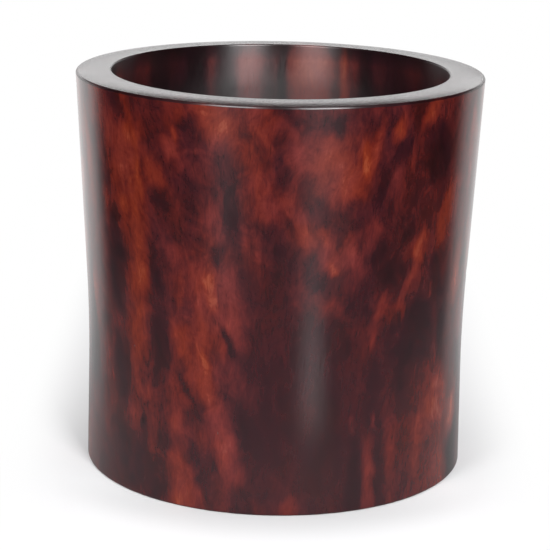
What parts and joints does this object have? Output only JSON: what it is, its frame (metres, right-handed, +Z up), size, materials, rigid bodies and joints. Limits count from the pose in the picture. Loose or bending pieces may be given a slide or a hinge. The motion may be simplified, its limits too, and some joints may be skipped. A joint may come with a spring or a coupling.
{
  "type": "brush holder pot",
  "caption": "Waisted cylindrical hardwood pot with a broad crowned rim and a let-in base disc, for standing writing brushes in on a desk.",
  "frame": {"origin": "centre of the foot, on the surface the pot stands on", "axes": "+Z up along the pot's axis, out of its mouth; the pot is turned, so +X and +Y are alike in shape, and -Y is the side that the figure of the wood is laid out from"},
  "size_m": [0.1682, 0.1682, 0.165],
  "materials": {
    "wall_wood": "waxed and burnished, figured dark red-brown rosewood",
    "base_wood": "waxed, turned end grain",
    "plug_wood": "waxed, turned end grain"
  },
  "bodies": {
    "root": {"pot_wall": "wall_wood", "base_disc": "base_wood", "heart_plug": "plug_wood"}
  },
  "joints": []
}
